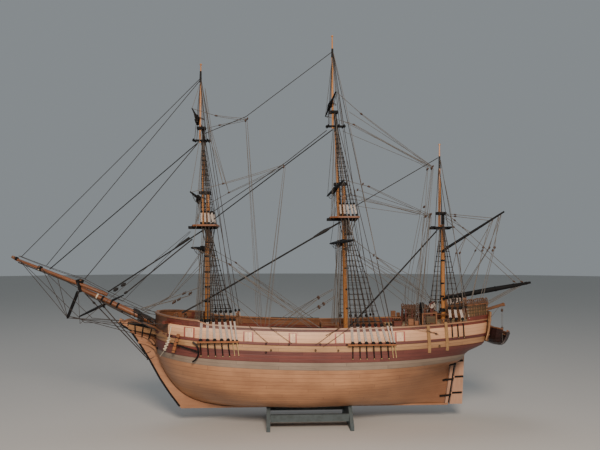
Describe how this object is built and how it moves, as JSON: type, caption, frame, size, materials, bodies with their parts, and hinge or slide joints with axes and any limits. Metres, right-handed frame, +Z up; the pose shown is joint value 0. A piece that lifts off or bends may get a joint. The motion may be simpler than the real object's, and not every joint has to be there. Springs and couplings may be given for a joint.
{
  "type": "tall ship model",
  "caption": "Wooden display model of a bark-rigged sailing ship: planked hull, masts with tops and yards, boom and gaff, hinged rudder, stern boat, standing on a low grey cradle.",
  "frame": {"origin": "on the table, under the middle of the overall length and width", "axes": "+X from the bow to the stern, -Y to port, +Z up"},
  "size_m": [0.716, 0.268, 0.5406],
  "materials": {
    "planking": "satin",
    "keel_wood": "satin",
    "dark_red_wood": "satin",
    "spar_wood": "satin varnish",
    "jibboom_wood": "satin varnish",
    "black_wood": "satin black paint",
    "top_wood": "satin",
    "deck_wood": "matt",
    "rail_wood": "satin",
    "light_wood": "satin",
    "boat_wood": "satin",
    "blackened_brass": "blackened",
    "black_rope": "twisted cord",
    "cradle_paint": "matt grey paint"
  },
  "bodies": {
    "ship": {"hull": "planking", "keel": "keel_wood", "stem": "keel_wood", "sternpost": "keel_wood", "bulwark_port": "dark_red_wood", "bulwark_starboard": "dark_red_wood", "cap_rail_port": "light_wood", "cap_rail_starboard": "light_wood", "transom": "light_wood", "quarterdeck": "deck_wood", "forecastle": "deck_wood", "main_hatch": "rail_wood", "bowsprit": "spar_wood", "jibboom": "jibboom_wood", "dolphin_striker": "black_wood", "spritsail_yard": "black_wood", "wheel_stand": "rail_wood", "stern_boat": "boat_wood", "fore_lower_mast": "spar_wood", "fore_top": "top_wood", "fore_topmast": "spar_wood", "fore_crosstrees": "black_wood", "fore_topgallant_mast": "spar_wood", "fore_course_yard": "black_wood", "fore_topsail_yard": "black_wood", "fore_topgallant_yard": "black_wood", "fore_channel_port": "light_wood", "fore_channel_starboard": "light_wood", "main_lower_mast": "spar_wood", "main_top": "top_wood", "main_topmast": "spar_wood", "main_crosstrees": "black_wood", "main_topgallant_mast": "spar_wood", "main_course_yard": "black_wood", "main_topsail_yard": "black_wood", "main_topgallant_yard": "black_wood", "main_channel_port": "light_wood", "main_channel_starboard": "light_wood", "mizzen_lower_mast": "spar_wood", "mizzen_top": "black_wood", "mizzen_topmast": "spar_wood", "davit_port": "rail_wood", "anchor_port": "black_wood", "cradle_bar_port": "cradle_paint", "davit_starboard": "rail_wood", "anchor_starboard": "black_wood", "cradle_bar_starboard": "cradle_paint", "cradle_board_fore": "cradle_paint", "cradle_board_aft": "cradle_paint", "fore_stay": "black_rope", "main_stay": "black_rope", "fore_topmast_stay": "black_rope", "main_topmast_stay": "black_rope", "mizzen_stay": "black_rope"},
    "rudder": {"rudder": "keel_wood"},
    "wheel": {"steering_wheel": "rail_wood"},
    "boom": {"boom": "black_wood"},
    "gaff": {"gaff": "black_wood"}
  },
  "joints": [
    {"name": "rudder_swing", "type": "hinge", "parent": "ship", "child": "rudder", "pos_m": [0.2374, 0, 0.023], "axis": [0.1714, 0, 0.9852], "range_deg": [-30, 30]},
    {"name": "wheel_turn", "type": "hinge", "parent": "ship", "child": "wheel", "pos_m": [0.2439, 0, 0.14642], "axis": [1, 0, 0], "continuous": true},
    {"name": "boom_swing", "type": "hinge", "parent": "ship", "child": "boom", "pos_m": [0.23192, 0, 0.17], "axis": [0.0089, 0, 1], "range_deg": [-12, 12]},
    {"name": "gaff_swing", "type": "hinge", "parent": "ship", "child": "gaff", "pos_m": [0.23253, 0, 0.2384], "axis": [0.0089, 0, 1], "range_deg": [-12, 12]}
  ]
}
